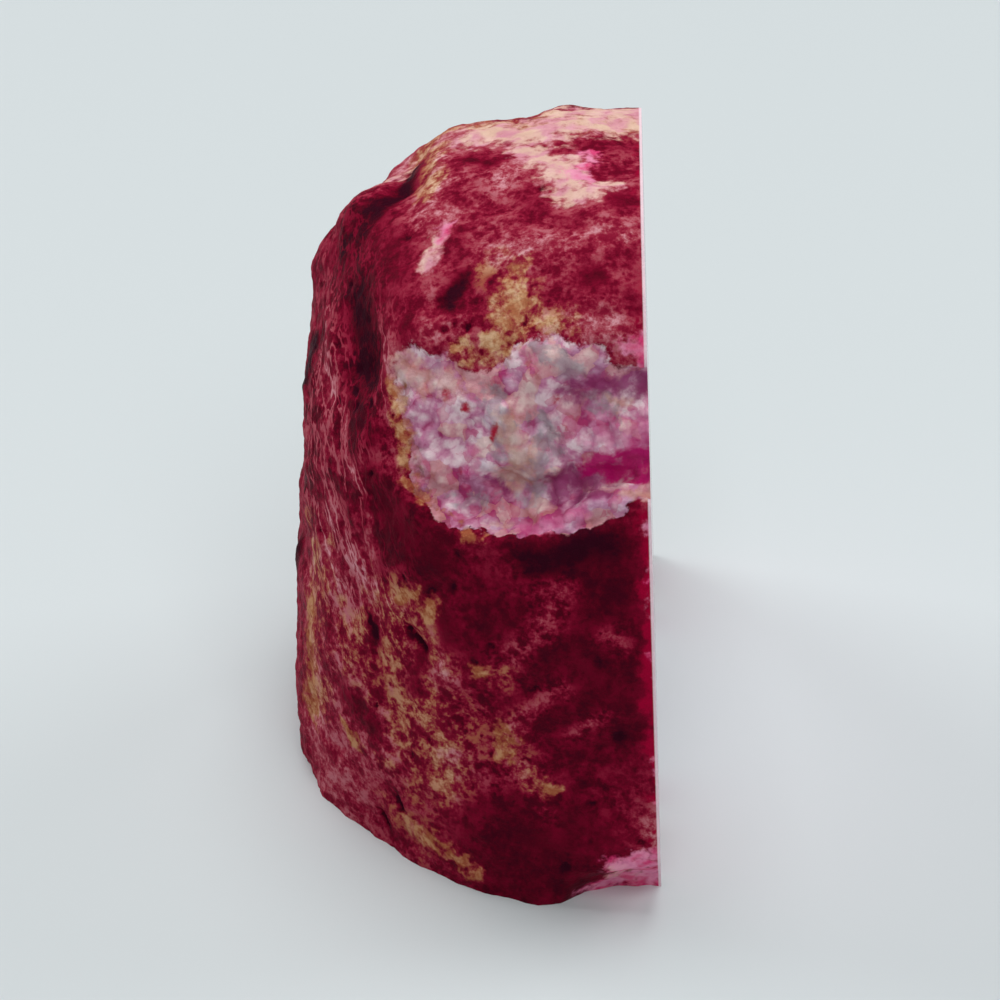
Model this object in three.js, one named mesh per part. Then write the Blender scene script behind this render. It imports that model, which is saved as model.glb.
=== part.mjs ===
// One half of an agate nodule, dyed crimson, cut to stand on a desk or shelf.
// Millimetres, +Z up. The part stands on its sawn base at z = 0. Its polished face looks along +X and
// leans back a little; everything else is the nodule's natural rind. The part's origin is the middle of
// its bounding box, on the base.
//
// The rind is star-shaped around one point, the heart: the middle of the edge where the polished face
// meets the base. Every place named below is given from the heart, before the face leans back.

import * as THREE from "three";
import { ImprovedNoise } from "three/addons/math/ImprovedNoise.js";
import { mergeVertices } from "three/addons/utils/BufferGeometryUtils.js";

// Driving dimensions
const HEIGHT = 103; // base to crown
const DEPTH = 60; // polished face to the back of the rind, along the base
const HALF_WIDTH_NEAR = 52; // heart to the -Y end of the polished face
const HALF_WIDTH_FAR = 54; // heart to the +Y end
const FACE_LEAN = THREE.MathUtils.degToRad(3.3); // the polished face leans back from upright
const PLAN_POWER = 2.2; // seen from above: 2 is round, more is squarer
const PROFILE_POWER = 3.4; // seen from the side: 2 is a dome, more has fuller shoulders

// Relief that covers the whole rind: soft noise, by its wavelength and its height
const RELIEF = [
  { wavelength: 30, height: 1.6 },
  { wavelength: 12, height: 0.7 },
];

// Single swellings (height above 0) and hollows (below 0), each fading out over its reach
const FEATURES = [
  { name: "crown corner", at: [-37, 18, 99], reach: 8, height: 2.9 },
  { name: "crown notch", at: [-46, 12, 93.5], reach: 6, height: -4.2 },
  { name: "shoulder", at: [-50, 10, 88], reach: 14, height: 2.6 },
  { name: "shoulder knob", at: [-54, 4, 82], reach: 7, height: 1.5 },
  { name: "notch under the knob", at: [-57, 1, 77], reach: 5, height: -2.6 },
  { name: "side hollow", at: [-59, -6, 62], reach: 18, height: -2.8 },
  { name: "side waist", at: [-59, -9, 44], reach: 12, height: -1.6 },
  { name: "side knob", at: [-59, -12, 36], reach: 5, height: 0.9 },
  { name: "side foot", at: [-58, -12, 4], reach: 16, height: 1.6 },
  { name: "dark hollow", at: [-47, -27, 82], reach: 10, height: -2.6 },
  { name: "corner foot", at: [-38, -41, 6], reach: 14, height: -1.2 },
  { name: "brow", at: [-32, -31, 92], reach: 9, height: 0.9 },
  { name: "pocket knob", at: [-15, -42, 88], reach: 5, height: 1.8 },
  { name: "pocket hollow", at: [-11, -48, 74], reach: 7, height: -1.4 },
  { name: "far hollow", at: [-30, 46, 70], reach: 20, height: -2.0 },
  { name: "far swelling", at: [-46, 36, 34], reach: 22, height: 1.8 },
];

// A blunt crest runs down the near corner, between the side and the front
const CREST = {
  path: [[-40, 7, 98], [-42, -31, 84], [-40, -37, 76], [-34, -45, 64], [-30, -49, 44]],
  reach: 6,
  height: 1.3,
};

// The pocket is a broken-out recess high on the near side that shows the pale crystal under the rind.
// Its outline is drawn on the X-Z plane, and it is pushed in along +Y. A ledge runs along its foot.
const POCKET = {
  outline: [
    [-43, 80], [-40, 73], [-35, 65.5], [-26, 63.3], [-17, 64.4], [-8, 68.5], [4, 75],
    [4, 88], [-8, 91], [-17, 91.5], [-26, 88], [-36, 87],
  ],
  depth_at_foot: 5.6,
  depth_at_top: 0.8,
  step: 2.6, // width of the step all round it, which makes the ledge
  shallow_end: { from: 15, to: 40, share: 0.5 }, // its depth falls to this share, away from the face
};

// A chip is gone from the foot of the near side, next to the polished face
const CHIP = { at: [0, -54, 0], reach: [18, 12, 9], depth: 8 };

// Fineness of the mesh
const STEPS_DEPTH = 22; // polished face to back
const STEPS_WIDTH = 38; // near end to far end
const STEPS_HEIGHT = 38; // base to shoulder
const CREST_STEPS = 40;
const POCKET_STEPS = 120;
const WELD = 1e-4; // neighbouring patches share their edge points

const { smoothstep, lerp, inverseLerp } = THREE.MathUtils;
const noise = new ImprovedNoise();

// Distance from the heart to the smooth nodule, along a unit direction
function nodule_radius(direction) {
  const half_width = direction.y < 0 ? HALF_WIDTH_NEAR : HALF_WIDTH_FAR;
  const x = Math.abs(direction.x / DEPTH) ** PLAN_POWER;
  const y = Math.abs(direction.y / half_width) ** PLAN_POWER;
  const z = Math.abs(direction.z / HEIGHT) ** PROFILE_POWER;
  return ((x + y) ** (PROFILE_POWER / PLAN_POWER) + z) ** (-1 / PROFILE_POWER);
}

function bell(distance, reach) {
  return Math.exp(-((distance / reach) ** 2));
}

const crest_curve = new THREE.CatmullRomCurve3(CREST.path.map((p) => new THREE.Vector3(...p)));
const crest_points = crest_curve.getSpacedPoints(CREST_STEPS);

// Height of the relief, the features and the crest above the smooth nodule
function relief_height(point) {
  let height = 0;
  for (const layer of RELIEF) {
    const { x, y, z } = point.clone().divideScalar(layer.wavelength);
    height += layer.height * noise.noise(x, y, z);
  }
  for (const feature of FEATURES) {
    height += feature.height * bell(point.distanceTo(new THREE.Vector3(...feature.at)), feature.reach);
  }
  const to_crest = Math.min(...crest_points.map((p) => p.distanceTo(point)));
  return height + CREST.height * bell(to_crest, CREST.reach);
}

const pocket_curve = new THREE.CatmullRomCurve3(
  POCKET.outline.map(([x, z]) => new THREE.Vector3(x, 0, z)),
  true,
);
const pocket_edge = pocket_curve.getSpacedPoints(POCKET_STEPS).map((p) => new THREE.Vector2(p.x, p.z));
const pocket_box = new THREE.Box2().setFromPoints(pocket_edge);

// How far inside the pocket's outline a point lies, 0 outside it
function inset_in_pocket(here) {
  if (!pocket_box.containsPoint(here)) return 0;
  let inside = false;
  let nearest = Infinity;
  pocket_edge.forEach((b, i) => {
    const a = pocket_edge.at(i - 1);
    const crosses = a.y > here.y !== b.y > here.y;
    if (crosses && here.x < lerp(a.x, b.x, inverseLerp(a.y, b.y, here.y))) inside = !inside;
    nearest = Math.min(nearest, here.distanceTo(b));
  });
  return inside ? nearest : 0;
}

function pocket_depth(point) {
  if (point.y > 0) return 0;
  const climb = inverseLerp(pocket_box.min.y, pocket_box.max.y, point.z);
  const depth = lerp(POCKET.depth_at_foot, POCKET.depth_at_top, climb);
  const { from, to, share } = POCKET.shallow_end;
  const along = lerp(1, share, smoothstep(-point.x, from, to));
  const inset = inset_in_pocket(new THREE.Vector2(point.x, point.z));
  return depth * along * smoothstep(inset, 0, POCKET.step);
}

function chip_depth(point) {
  const [x, y, z] = point.toArray().map((value, i) => (value - CHIP.at[i]) / CHIP.reach[i]);
  return CHIP.depth * Math.max(0, 1 - x * x - y * y - z * z);
}

// The point of the rind that lies in a direction from the heart
function rind_point(direction) {
  const unit = direction.clone().normalize();
  const point = unit.clone().multiplyScalar(nodule_radius(unit));
  point.addScaledVector(unit, relief_height(point));
  point.y += pocket_depth(point) + chip_depth(point);
  point.x -= point.z * Math.tan(FACE_LEAN);
  return point;
}

// A grid of rind points over one side of the box x -1..0, y -1..1, z 0..1 around the heart
function rind_patch(columns, rows, side) {
  const patch = [];
  for (let i = 0; i <= columns; i++) {
    patch.push([]);
    for (let j = 0; j <= rows; j++) {
      const [x, y, z] = side(i / columns, j / rows);
      patch[i].push(rind_point(new THREE.Vector3(x * DEPTH, y * HALF_WIDTH_FAR, z * HEIGHT)));
    }
  }
  return patch;
}

const corners = [];

// Adds a triangle, turned so that it faces outward
function add_triangle(a, b, c, outward) {
  const normal = b.clone().sub(a).cross(c.clone().sub(a));
  const order = normal.dot(outward) > 0 ? [a, b, c] : [a, c, b];
  order.forEach((p) => corners.push(p.x, p.y, p.z));
}

// Splits each cell of a patch along its shorter diagonal, which follows ridges and hollows better
function add_patch(patch) {
  for (let i = 1; i < patch.length; i++) {
    for (let j = 1; j < patch[i].length; j++) {
      const [a, b, c, d] = [patch[i - 1][j - 1], patch[i][j - 1], patch[i][j], patch[i - 1][j]];
      const outward = a.clone().add(c);
      if (a.distanceTo(c) < b.distanceTo(d)) {
        add_triangle(a, b, c, outward);
        add_triangle(a, c, d, outward);
      } else {
        add_triangle(a, b, d, outward);
        add_triangle(b, c, d, outward);
      }
    }
  }
}

// Closes a flat rim with a cut face; flat() gives a rim point's place in the plane of the cut
function add_cut(rim, flat, outward) {
  for (const [i, j, k] of THREE.ShapeUtils.triangulateShape(rim.map(flat), [])) {
    add_triangle(rim[i], rim[j], rim[k], outward);
  }
}

const back = rind_patch(STEPS_WIDTH, STEPS_HEIGHT, (u, v) => [-1, 2 * u - 1, v]);
const crown = rind_patch(STEPS_WIDTH, STEPS_DEPTH, (u, v) => [-v, 2 * u - 1, 1]);
const near = rind_patch(STEPS_DEPTH, STEPS_HEIGHT, (u, v) => [-u, -1, v]);
const far = rind_patch(STEPS_DEPTH, STEPS_HEIGHT, (u, v) => [-u, 1, v]);
[back, crown, near, far].forEach(add_patch);

const face_rim = [...near[0], ...crown.slice(1, -1).map((row) => row[0]), ...far[0].toReversed()];
const base_rim = [
  ...near.map((column) => column[0]),
  ...back.slice(1, -1).map((column) => column[0]),
  ...far.map((column) => column[0]).toReversed(),
];
add_cut(face_rim, (p) => new THREE.Vector2(p.y, p.z), new THREE.Vector3(1, 0, 0));
add_cut(base_rim, (p) => new THREE.Vector2(p.x, p.y), new THREE.Vector3(0, 0, -1));

const loose = new THREE.BufferGeometry();
loose.setAttribute("position", new THREE.Float32BufferAttribute(corners, 3));
loose.computeBoundingBox();
const middle = loose.boundingBox.getCenter(new THREE.Vector3());
loose.translate(-middle.x, -middle.y, 0);
const body = mergeVertices(loose, WELD);
body.computeVertexNormals();

const dyed_rind = new THREE.MeshStandardMaterial({ color: 0x7a1430, roughness: 0.55, metalness: 0 });
const agate = new THREE.Mesh(body, dyed_rind);
agate.name = "agate";

const group = new THREE.Group();
group.add(agate);
export default group;
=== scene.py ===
"""Half of a dyed agate nodule on a pale table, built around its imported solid.

The solid gives the stone's whole shape. Here its rind is laid out again as a fine even grid, given the
relief of a real one (lumps, pores, slits, a pocket of crystal blebs), dyed, and finished.
Places are in millimetres in the part's own frame, +Z up; Blender's metres come at the end.
"""
import math

import bpy
import numpy as np
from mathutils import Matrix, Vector, noise
from mathutils.bvhtree import BVHTree
from mathutils.kdtree import KDTree


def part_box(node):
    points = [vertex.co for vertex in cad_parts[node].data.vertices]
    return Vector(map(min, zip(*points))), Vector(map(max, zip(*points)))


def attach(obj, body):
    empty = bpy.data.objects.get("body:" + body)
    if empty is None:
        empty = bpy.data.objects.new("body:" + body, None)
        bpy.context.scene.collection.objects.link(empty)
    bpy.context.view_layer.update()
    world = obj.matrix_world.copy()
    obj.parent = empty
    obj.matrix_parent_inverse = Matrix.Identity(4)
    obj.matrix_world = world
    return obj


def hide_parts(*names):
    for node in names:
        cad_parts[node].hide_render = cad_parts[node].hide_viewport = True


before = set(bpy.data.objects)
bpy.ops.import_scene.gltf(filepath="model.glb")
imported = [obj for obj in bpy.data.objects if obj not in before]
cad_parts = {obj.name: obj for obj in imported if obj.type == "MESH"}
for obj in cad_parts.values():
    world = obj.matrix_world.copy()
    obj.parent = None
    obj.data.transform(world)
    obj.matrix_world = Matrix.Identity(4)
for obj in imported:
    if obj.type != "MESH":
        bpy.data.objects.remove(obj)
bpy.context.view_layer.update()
scene = bpy.context.scene
scene.view_settings.view_transform = "Standard"

MM = 0.001
low, high = (np.array(corner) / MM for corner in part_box("agate"))
DEPTH, WIDTH, HEIGHT = high - low
FACE_LEAN = math.radians(3.3)  # the polished face leans back from upright
FACE_NORMAL = np.array([math.cos(FACE_LEAN), 0, math.sin(FACE_LEAN)])
BASE_NORMAL = np.array([0, 0, -1.0])
HEART = np.array([high[0], 0, 0])  # every point of the stone is in sight of this one


# ---------------- camera, lights, table

CAMERA_TARGET = np.array([4.5, -20.4, 54.0])
CAMERA_DISTANCE = 340
CAMERA_AZIMUTH = math.radians(2.8)
CAMERA_ELEVATION = math.radians(30)
CAMERA_LENS = 79.2
LIGHTS_AWAY = 10.0  # metres from the stone, so that the table is evenly lit for a long way
ROOM_LIGHT = 0.08
ROOM_AS_SEEN = 0.72


def make_camera():
    data = bpy.data.cameras.new("camera")
    data.lens = CAMERA_LENS
    data.clip_start = 0.01
    camera = bpy.data.objects.new("camera", data)
    scene.collection.objects.link(camera)
    a, e = CAMERA_AZIMUTH, CAMERA_ELEVATION
    back = Vector((math.sin(a) * math.cos(e), -math.cos(a) * math.cos(e), math.sin(e)))
    camera.location = Vector(CAMERA_TARGET * MM) + back * CAMERA_DISTANCE * MM
    camera.rotation_euler = back.to_track_quat("Z", "Y").to_euler()
    scene.camera = camera


def make_soft_box(name, azimuth, elevation, size, power):
    """A square soft box that faces the stone. Azimuth 0 is +X, 90 is +Y."""
    a, e = math.radians(azimuth), math.radians(elevation)
    away = Vector((math.cos(a) * math.cos(e), math.sin(a) * math.cos(e), math.sin(e)))
    data = bpy.data.lights.new(name, "AREA")
    data.size = size
    data.energy = power
    light = bpy.data.objects.new(name, data)
    light.location = away * LIGHTS_AWAY + Vector((0, 0, 0.05))
    light.rotation_euler = away.to_track_quat("Z", "Y").to_euler()
    scene.collection.objects.link(light)


def make_studio():
    make_soft_box("overhead", 90, 80, 5.6, 471)
    make_soft_box("back left", 150, 30, 5.6, 370)
    make_soft_box("back right", 30, 30, 5.6, 262)
    make_soft_box("front", -78, 52, 6.7, 417)
    world = bpy.data.worlds.new("room")
    world.use_nodes = True
    board = Board(world.node_tree)
    seen = board.node("LightPath")
    room = world.node_tree.nodes["Background"]
    room.inputs["Color"].default_value = (0.92, 0.97, 1.0, 1)
    board.join(board.mix(seen, ROOM_LIGHT, ROOM_AS_SEEN), room.inputs["Strength"])
    scene.world = world


def make_table():
    half = 9.0
    mesh = bpy.data.meshes.new("table")
    corners = [(-half, -half, 0), (half, -half, 0), (half, half, 0), (-half, half, 0)]
    mesh.from_pydata(corners, [], [(0, 1, 2, 3)])
    table = bpy.data.objects.new("table", mesh)
    scene.collection.objects.link(table)
    card = bpy.data.materials.new("pale_card")
    card.use_nodes = True
    shader = card.node_tree.nodes["Principled BSDF"]
    shader.inputs["Base Color"].default_value = (0.65, 0.705, 0.72, 1)
    shader.inputs["Roughness"].default_value = 0.6
    mesh.materials.append(card)


# ---------------- the rind as a fine grid

CELLS = (100, 184, 176)  # along the stone's depth, width and height
SMOOTHING = 16  # rounds that take the facets out of the solid
INTO_STONE = np.array([-1e-4, 0, 1e-4])  # keeps rays along the rims from slipping past them


def grid_directions():
    """Directions from the heart to every node of a box grid round it, and the box's four open sides.

    The box has its x=0 side on the polished face and its z=0 side on the base. Each side is a 2D
    array of numbers of grid nodes; sides share the nodes along their common edges.
    """
    nx, ny, nz = CELLS
    index = {}
    directions = []

    def number(i, j, k):
        if (i, j, k) not in index:
            index[i, j, k] = len(directions)
            x, y, z = -i / nx, 2 * j / ny - 1, k / nz
            lean = z * HEIGHT * math.tan(FACE_LEAN)
            directions.append((x * DEPTH - lean, y * WIDTH / 2, z * HEIGHT))
        return index[i, j, k]

    sides = {
        "back": [[number(nx, j, k) for k in range(nz + 1)] for j in range(ny + 1)],
        "crown": [[number(i, j, nz) for j in range(ny + 1)] for i in range(nx + 1)],
        "near": [[number(i, 0, k) for k in range(nz + 1)] for i in range(nx + 1)],
        "far": [[number(i, ny, k) for k in range(nz + 1)] for i in range(nx + 1)],
    }
    directions = np.array(directions)
    directions /= np.linalg.norm(directions, axis=1)[:, None]
    return directions, {name: np.array(side) for name, side in sides.items()}


def measure_radii(directions):
    """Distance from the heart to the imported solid's skin along each direction."""
    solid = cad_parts["agate"].data
    corners = [v.co / MM for v in solid.vertices]
    tree = BVHTree.FromPolygons(corners, [p.vertices for p in solid.polygons])
    reach = 3 * HEIGHT
    radii = np.empty(len(directions))
    for n, direction in enumerate(directions + INTO_STONE):
        start = Vector(HEART + direction * reach)
        place, _, _, _ = tree.ray_cast(start, Vector(-direction))
        radii[n] = (place - Vector(HEART)).length
    return radii


def edges_of(sides):
    pairs = []
    for side in sides.values():
        pairs.append(np.stack([side[:-1].ravel(), side[1:].ravel()], 1))
        pairs.append(np.stack([side[:, :-1].ravel(), side[:, 1:].ravel()], 1))
    return np.unique(np.sort(np.concatenate(pairs), axis=1), axis=0)


def smooth_over(values, edges, lengths, on_rim, rounds):
    """Averages a value with its neighbours', nearer ones more; rim values only with the rim's."""
    inner = ~(on_rim[edges[:, 0]] ^ on_rim[edges[:, 1]])
    pull_on_first = np.where(inner | ~on_rim[edges[:, 0]], 1 / lengths, 0)
    pull_on_second = np.where(inner | ~on_rim[edges[:, 1]], 1 / lengths, 0)
    first, second = edges.T
    count = len(values)
    total_pull = np.bincount(first, pull_on_first, count) + np.bincount(second, pull_on_second, count)
    for _ in range(rounds):
        pulled = np.bincount(first, pull_on_first * values[second], count)
        pulled += np.bincount(second, pull_on_second * values[first], count)
        values = (values + pulled / total_pull) / 2
    return values


def quads_of(grid):
    """The four corners of each quad of a grid, whatever the grid holds."""
    corners = np.stack([grid[:-1, :-1], grid[1:, :-1], grid[1:, 1:], grid[:-1, 1:]], 2)
    return corners.reshape(-1, *corners.shape[2:])


def facing_in(points, quads):
    """Whether each quad's corners run the wrong way round, so that it would face into the stone."""
    a, b, c, d = (points[quads[:, n]] for n in range(4))
    return np.einsum("ij,ij->i", np.cross(c - a, d - b), a - HEART) < 0


def normals_of(points, quads):
    """Unit normals at the points, on the side that the quads face."""
    a, b, c, d = (points[quads[:, n]] for n in range(4))
    across = np.cross(c - a, d - b)
    normals = np.zeros_like(points)
    for n in range(4):
        for axis in range(3):
            normals[:, axis] += np.bincount(quads[:, n], across[:, axis], len(points))
    return normals / np.linalg.norm(normals, axis=1)[:, None]


# ---------------- drawing on the rind

CREASE_WIDTH = 0.28  # in grains
GRAIN_SCATTER = 7.3  # keeps the own numbers of close grains apart


def fade(distance, width):
    """1 on the spot, a half one width away, and next to nothing two widths away."""
    return 0.5 ** ((distance / width) ** 2)


def ramp(value, start, end):
    """A smooth step from 0 at start to 1 at end."""
    t = np.clip((value - start) / (end - start), 0, 1)
    return t * t * (3 - 2 * t)


def blend(a, b, share):
    return a + (b - a) * share


def distance_to(path, points):
    """Distance from each point to a path of straight runs, or to a single spot."""
    path = np.array(path, float)
    nearest = np.linalg.norm(points - path[0], axis=1)
    for a, b in zip(path, path[1:]):
        along = np.clip((points - a) @ (b - a) / ((b - a) @ (b - a)), 0, 1)
        nearest = np.minimum(nearest, np.linalg.norm(points - a - along[:, None] * (b - a), axis=1))
    return nearest


def paint(marks, points):
    """How strongly the nearest of some marks (name, width, path) tells at each point."""
    strength = np.zeros(len(points))
    for _, width, path in marks:
        strength = np.maximum(strength, fade(distance_to(path, points), width))
    return strength


def raise_strokes(relief, strokes):
    """Adds to the relief over the skin some strokes (name, width, path, height)."""
    for _, width, path, height in strokes:
        relief = relief + height * fade(distance_to(path, skin), width)
    return relief


def lumps(points, size, octaves=3, stretch=(1, 1, 1)):
    """Soft noise of about -1 to 1, whose lumps are about size across, or longer along an axis."""
    scaled = points / (size * np.array(stretch))
    return np.array([noise.fractal(Vector(p), 1.0, 2.0, octaves) for p in scaled.tolist()])


def grains(points, size):
    """Close-packed grains: how far out from its middle each point is, in grains, how near the crease
    to the next grain (1 in it), and the grain's own number from 0 to 1."""
    found = [noise.voronoi(Vector(p)) for p in (points / size).tolist()]
    distance = np.array([distances[0] for distances, _ in found])
    gap = np.array([distances[1] - distances[0] for distances, _ in found])
    own = np.array([noise.cell(middles[0] * GRAIN_SCATTER) for _, middles in found])
    return distance, 1 - ramp(gap, 0, CREASE_WIDTH), own / 2 + 0.5


def stray(points, size, reach):
    """The points moved about at random, so that what is drawn on them gets an uneven outline."""
    apart = np.array([[0, 0, 0], [31, 7, 3], [5, 41, 17]]) * size
    return points + reach * np.stack([lumps(points + shift, size) for shift in apart], 1)


# ---------------- the pocket of crystal

# Its outline, as x and z on the near side, from its far top corner along the top
POCKET_OUTLINE = [
    (-9.8, 82), (-7.6, 86.4), (-4, 86.6), (0, 84.6), (4, 85.4), (8.5, 89.3), (13, 90.8), (18.5, 89.7),
    (24, 86.8), (33, 85.6), (33, 72.4), (26.5, 70.5), (19.5, 66.8), (12, 64.8), (4.5, 64), (-2.4, 64.1),
    (-6.5, 66.7), (-8.2, 73.6), (-9.6, 79.5),
]
POCKET_RUNS = 8  # straight runs to each stretch of the outline
POCKET_SIDE = -20  # the pocket is nearer than this, along y
FAR_OUTSIDE = -50.0  # stands for the inset of everything beyond that


def round_off(outline, runs):
    """A closed smooth curve through the corners of an outline."""
    corners = np.array(outline, float)
    before, after, later = (np.roll(corners, shift, 0) for shift in (1, -1, -2))
    curve = []
    for t in np.arange(runs) / runs:
        pull = (after - before) * t + (2 * before - 5 * corners + 4 * after - later) * t**2
        curve.append(corners + 0.5 * (pull + (3 * corners - before - 3 * after + later) * t**3))
    return np.stack(curve, 1).reshape(-1, 2)


def pocket_inset(points):
    """How far inside the pocket's outline each point lies; negative outside it."""
    curve = round_off(POCKET_OUTLINE, POCKET_RUNS)
    inset = np.full(len(points), FAR_OUTSIDE)
    nearby = points[:, 1] < POCKET_SIDE
    x, z = points[nearby][:, 0], points[nearby][:, 2]
    inside = np.zeros(len(x), bool)
    nearest = np.full(len(x), np.inf)
    for (ax, az), (bx, bz) in zip(curve, np.roll(curve, -1, 0)):
        crosses = (az > z) != (bz > z)
        inside ^= crosses & (x < ax + (z - az) * (bx - ax) / (bz - az + 1e-9))
        run = (bx - ax) ** 2 + (bz - az) ** 2
        along = np.clip(((x - ax) * (bx - ax) + (z - az) * (bz - az)) / run, 0, 1)
        nearest = np.minimum(nearest, np.hypot(x - blend(ax, bx, along), z - blend(az, bz, along)))
    inset[nearby] = np.where(inside, nearest, -nearest)
    return inset


# ---------------- marks

# Each mark has a name, a width (how far off it is half as strong) and the places that it runs through.

CREAM = [
    ("strip over the crown", 5.0, [
        (0.5, 9, 102), (4, 8.5, 102.5), (10, 7.5, 103.3), (16, 10, 103), (30, 13.5, 102),
    ]),
    ("back of the strip", 4.0, [(12, 16.5, 102.3), (18, 17, 102.6), (31, 17, 101.5)]),
    ("tongue's shoulder", 1.6, [(13.4, -1.8, 103.6), (14.4, -4, 103.5)]),
    ("tongue from the strip", 2.8, [
        (6.2, 0.4, 103.1), (8, -1, 103.3), (12.4, -6, 103.2), (14.3, -12, 102.8), (15.3, -16, 102.5),
    ]),
    ("tip of the tongue", 2.2, [(15, -15.5, 102.6), (20, -12.5, 103)]),
    ("streak on the brow", 1.7, [(-4.2, -20, 97), (-5.5, -22.5, 95.6), (-6, -24.4, 94.8)]),
    ("far end of the pocket", 2.4, [(-8, -34, 83.5), (-5.7, -36, 81.5), (-1.5, -37, 82.4)]),
    ("pocket's grey middle", 2.2, [(6, -41, 78), (8.4, -42, 74), (7.5, -42.6, 70.5)]),
    ("under the hollow", 1.4, [(20.5, -42, 80.8), (23, -41.5, 82)]),
    ("ledge by the face", 0.8, [(23, -47.5, 70.4), (28, -48, 71.8)]),
    ("foot of the ledge", 0.9, [(3.5, -45, 65), (6, -45, 65.3)]),
    ("chip", 1.3, [(22.5, -52.8, 8), (26, -53.3, 7.6)]),
    ("chip's floor", 1.8, [(23.5, -49.5, 4.5), (27, -48.5, 3)]),
]
PINK = [
    ("on the tongue", 1.7, [(16.5, -1, 103.6), (17.4, -5, 103.4), (16, -7, 103.3)]),
    ("on the tongue's edge", 1.4, [(14.6, -9, 103.1), (16.5, -10.5, 103)]),
    ("top of the streak", 1.2, [(-3.2, -18, 98.2), (-4, -20, 97.2)]),
    ("pocket's near wall", 2.5, [(28, -41.8, 82.5), (27, -42.3, 79.5), (24, -42.5, 77)]),
    ("lump in the pocket", 1.6, [(18.7, -42.3, 76.1), (21, -42.6, 76.3)]),
    ("between the knob and the tongue", 1.2, [(8.6, -38.4, 87.6)]),
    ("over the pocket by the face", 1.6, [(22.4, -39.2, 90.2), (24.5, -39.4, 90.5), (26, -40, 87)]),
    ("along the ledge", 1.2, [(7, -46, 65.5), (12, -47, 66.4), (18, -47.6, 68.2)]),
    ("low left in the pocket", 1.1, [(-3, -40, 73.5), (-1, -40.8, 70.5)]),
    ("left of the grey middle", 1.2, [(1.5, -40.6, 74), (2.6, -41, 71.5)]),
    ("face edge, under the ledge", 1.2, [(26.6, -49, 66.3)]),
    ("face edge, high", 1.2, [(27.6, -50.5, 61.5), (27.3, -51, 58), (27.8, -51.7, 54)]),
    ("face edge, middle", 0.9, [(28.3, -52.3, 47), (28.6, -52.6, 43)]),
    ("face edge, low", 1.0, [(29.3, -53, 29), (29.7, -53, 22)]),
    ("chip's brim", 2.0, [(22.5, -52.9, 9.3), (25, -53.2, 10.3), (29, -53, 11)]),
    ("chip by the face", 4.0, [(25.5, -53, 8), (29, -52, 5.5)]),
    ("chip's floor by the face", 3.6, [(22, -47.5, 1), (28, -48, 4), (29, -45, 1)]),
]
MAGENTA = [  # deep in the pocket, by the polished face: magenta crystal with a painted glow of light that comes through the stone there
    ("pocket by the face", 2.2, [(31, -43.5, 75.4), (25, -43.6, 74.4)]),
    ("over the ledge by the face", 0.9, [(23, -45, 72.5), (28, -45.4, 73.5)]),
    ("pocket further in", 1.0, [(25, -43.6, 73.6), (18, -42.8, 73)]),
]
PAINTED_SHADE = [  # painted shade: deep mauve where shade falls in the pocket, under its overhang and over its ledge
    ("under the overhang", 2.0, [
        (15.5, -40.6, 83.8), (18, -40.9, 83.3), (21, -40.7, 84), (28, -40.4, 86),
    ]),
    ("over the ledge", 1.9, [(14, -43, 70.1), (16.2, -43, 70.6), (20, -43.6, 71.5)]),
    ("on the ledge", 1.3, [(17, -45.4, 69.2), (21, -46, 70)]),
    ("low left", 0.9, [(4.6, -42, 70.5), (6, -43, 68.6)]),
]
WARM = [  # where the pale tones of the dye are tan, not rosy
    ("strip over the crown", 4.5, [(18, 9, 103), (30, 12, 102)]),
    ("left of the crown", 2.6, [(-9, 8, 100), (-7.5, -8, 99)]),
    ("tongue over the pocket", 4.5, [(5, -30, 95), (6, -37, 89)]),
    ("band over the pocket", 2.2, [(9.5, -36, 92), (15, -37, 92.4)]),
    ("corner", 8.0, [(-6, -44, 49), (-14, -38, 36), (-2, -47, 30), (-6, -44.5, 21)]),
    ("side, low", 6.0, [(-24, -24, 46), (-25, -24, 21)]),
    ("middle of the front", 4.0, [(5, -50, 41), (7, -50, 28), (13, -51, 22)]),
    ("foot", 4.0, [(-10, -41, 8), (0, -47, 4)]),
]
GREY = [  # where the pocket's crystal took no dye
    ("column", 2.6, [(3.5, -40, 80.5), (6, -41, 77), (8.5, -42, 73.5), (8, -42.6, 70.5)]),
    ("beside the column", 2.0, [(12, -41.5, 79), (12.5, -42.4, 74.5), (11, -42.8, 71)]),
    ("knob", 1.6, [(10.8, -38.6, 89), (14, -39.5, 88), (17, -39.8, 86.3)]),
    ("low left", 1.5, [(-1, -42, 67.5), (4, -43, 66.3)]),
    ("by the hollow", 1.5, [(19.5, -41.4, 81.5), (22, -41.7, 80)]),
]
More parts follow.
